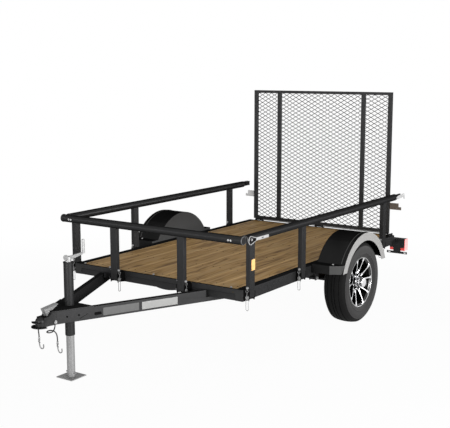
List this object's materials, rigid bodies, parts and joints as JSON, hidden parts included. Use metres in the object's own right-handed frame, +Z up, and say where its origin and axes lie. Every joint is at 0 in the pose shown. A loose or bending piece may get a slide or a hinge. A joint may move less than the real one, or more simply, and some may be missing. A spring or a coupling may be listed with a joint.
{
  "type": "utility trailer",
  "caption": "Single-axle utility trailer with a planked deck, fold-down tube rails, mesh ramp gate, A-frame tongue with ball coupler and a drop-leg jack.",
  "frame": {"origin": "on the floor under the middle of the trailer's overall length and width", "axes": "+X forward to the coupler, +Y to the left side, +Z up"},
  "size_m": [3.68, 2.006, 1.7558],
  "materials": {
    "frame_paint": "black powder coat, satin",
    "fender_paint": "black powder coat, semi-gloss",
    "mesh_steel": "black powder coat on expanded steel",
    "deck_wood": "treated pine planks with grain and knots",
    "zinc": "zinc plated steel, dull",
    "tyre_rubber": "black rubber",
    "wheel_alloy": "machined spoke faces with black painted pockets",
    "hub_chrome": "chrome cap",
    "lamp_red": "red lens",
    "cable_jacket": "black coating"
  },
  "bodies": {
    "chassis": {"frame_side_left": "frame_paint", "frame_side_right": "frame_paint", "frame_front": "frame_paint", "frame_rear": "frame_paint", "cross_members": "frame_paint", "tongue_left": "frame_paint", "tongue_right": "frame_paint", "tongue_plate": "frame_paint", "coupler": "frame_paint", "jack_tube": "frame_paint", "rail_brackets": "frame_paint", "hinge_lugs": "frame_paint", "axle_beam": "frame_paint", "leaf_springs": "frame_paint", "spring_hangers": "frame_paint", "lamp_brackets": "frame_paint", "plate_bar": "frame_paint", "fender_left": "fender_paint", "fender_right": "fender_paint", "deck_boards": "deck_wood", "coupler_latch": "zinc", "jack_crank": "zinc", "hanging_pins": "zinc", "hinge_rod": "zinc", "cable_hooks": "zinc", "lamp_left": "lamp_red", "lamp_right": "lamp_red", "safety_cable_front": "cable_jacket", "safety_cable_rear": "cable_jacket"},
    "wheel_left": {"tyre_left": "tyre_rubber", "rim_left": "wheel_alloy", "hub_left": "hub_chrome"},
    "wheel_right": {"tyre_right": "tyre_rubber", "rim_right": "wheel_alloy", "hub_right": "hub_chrome"},
    "gate": {"gate_uprights": "frame_paint", "gate_rails": "frame_paint", "gate_mesh": "mesh_steel"},
    "side_rail_left": {"rail_tube_left": "frame_paint", "rail_posts_left": "frame_paint", "rail_latches_left": "zinc"},
    "side_rail_right": {"rail_tube_right": "frame_paint", "rail_posts_right": "frame_paint", "rail_latches_right": "zinc"},
    "front_rail": {"front_rail_tube": "frame_paint", "front_rail_posts": "frame_paint"},
    "jack_stand": {"jack_leg": "zinc", "jack_foot": "zinc"}
  },
  "joints": [
    {"name": "wheel_left_spin", "type": "hinge", "parent": "chassis", "child": "wheel_left", "pos_m": [-0.675, 0.89, 0.32], "axis": [0, 1, 0], "continuous": true},
    {"name": "wheel_right_spin", "type": "hinge", "parent": "chassis", "child": "wheel_right", "pos_m": [-0.675, -0.89, 0.32], "axis": [0, 1, 0], "continuous": true},
    {"name": "gate_hinge", "type": "hinge", "parent": "chassis", "child": "gate", "pos_m": [-1.775, 0, 0.51], "axis": [0, -1, 0], "range_deg": [0, 114]},
    {"name": "side_rail_left_fold", "type": "hinge", "parent": "chassis", "child": "side_rail_left", "pos_m": [-0.059, 0.7905, 0.455], "axis": [-1, 0, 0], "range_deg": [0, 90]},
    {"name": "side_rail_right_fold", "type": "hinge", "parent": "chassis", "child": "side_rail_right", "pos_m": [-0.059, -0.7905, 0.455], "axis": [1, 0, 0], "range_deg": [0, 90]},
    {"name": "front_rail_fold", "type": "hinge", "parent": "chassis", "child": "front_rail", "pos_m": [0.745, 0, 0.455], "axis": [0, 1, 0], "range_deg": [0, 78]},
    {"name": "jack_slide", "type": "slide", "parent": "chassis", "child": "jack_stand", "axis": [0, 0, 1], "range_m": [-0.027, 0.227]}
  ]
}
